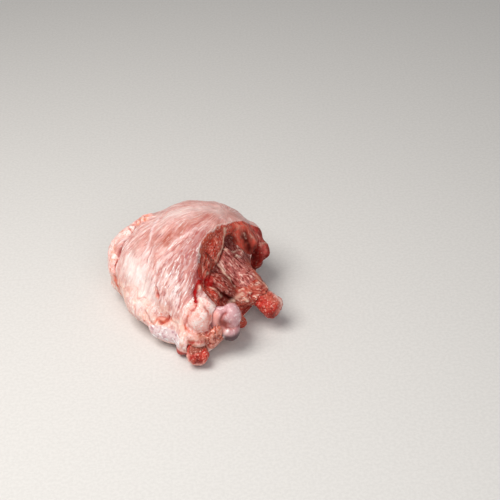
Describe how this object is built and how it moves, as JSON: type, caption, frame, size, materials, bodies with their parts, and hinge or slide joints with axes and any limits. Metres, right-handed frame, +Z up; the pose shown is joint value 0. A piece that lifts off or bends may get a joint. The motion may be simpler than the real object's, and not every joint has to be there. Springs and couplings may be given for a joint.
{
  "type": "raw bone-in beef lump",
  "caption": "Raw bone-in beef lump, rounded under pale silverskin and fat, with a scooped red cut face, a sawn bone end and joint cartilage.",
  "frame": {"origin": "bottom middle of the whole box, on the surface that the lump rests on", "axes": "+X right in the picture, towards the sawn bone end; +Y away from the viewer; +Z up"},
  "size_m": [0.1448, 0.1584, 0.0848],
  "materials": {
    "meat": "moist raw muscle under pale silverskin and fat",
    "joint_cartilage": "smooth wet cartilage",
    "bone_end_front": "moist spongy bone",
    "bone_end_right": "moist sawn bone with flesh on it"
  },
  "bodies": {
    "root": {"meat": "meat", "joint_cartilage": "joint_cartilage", "bone_end_front": "bone_end_front", "bone_end_right": "bone_end_right"}
  },
  "joints": []
}
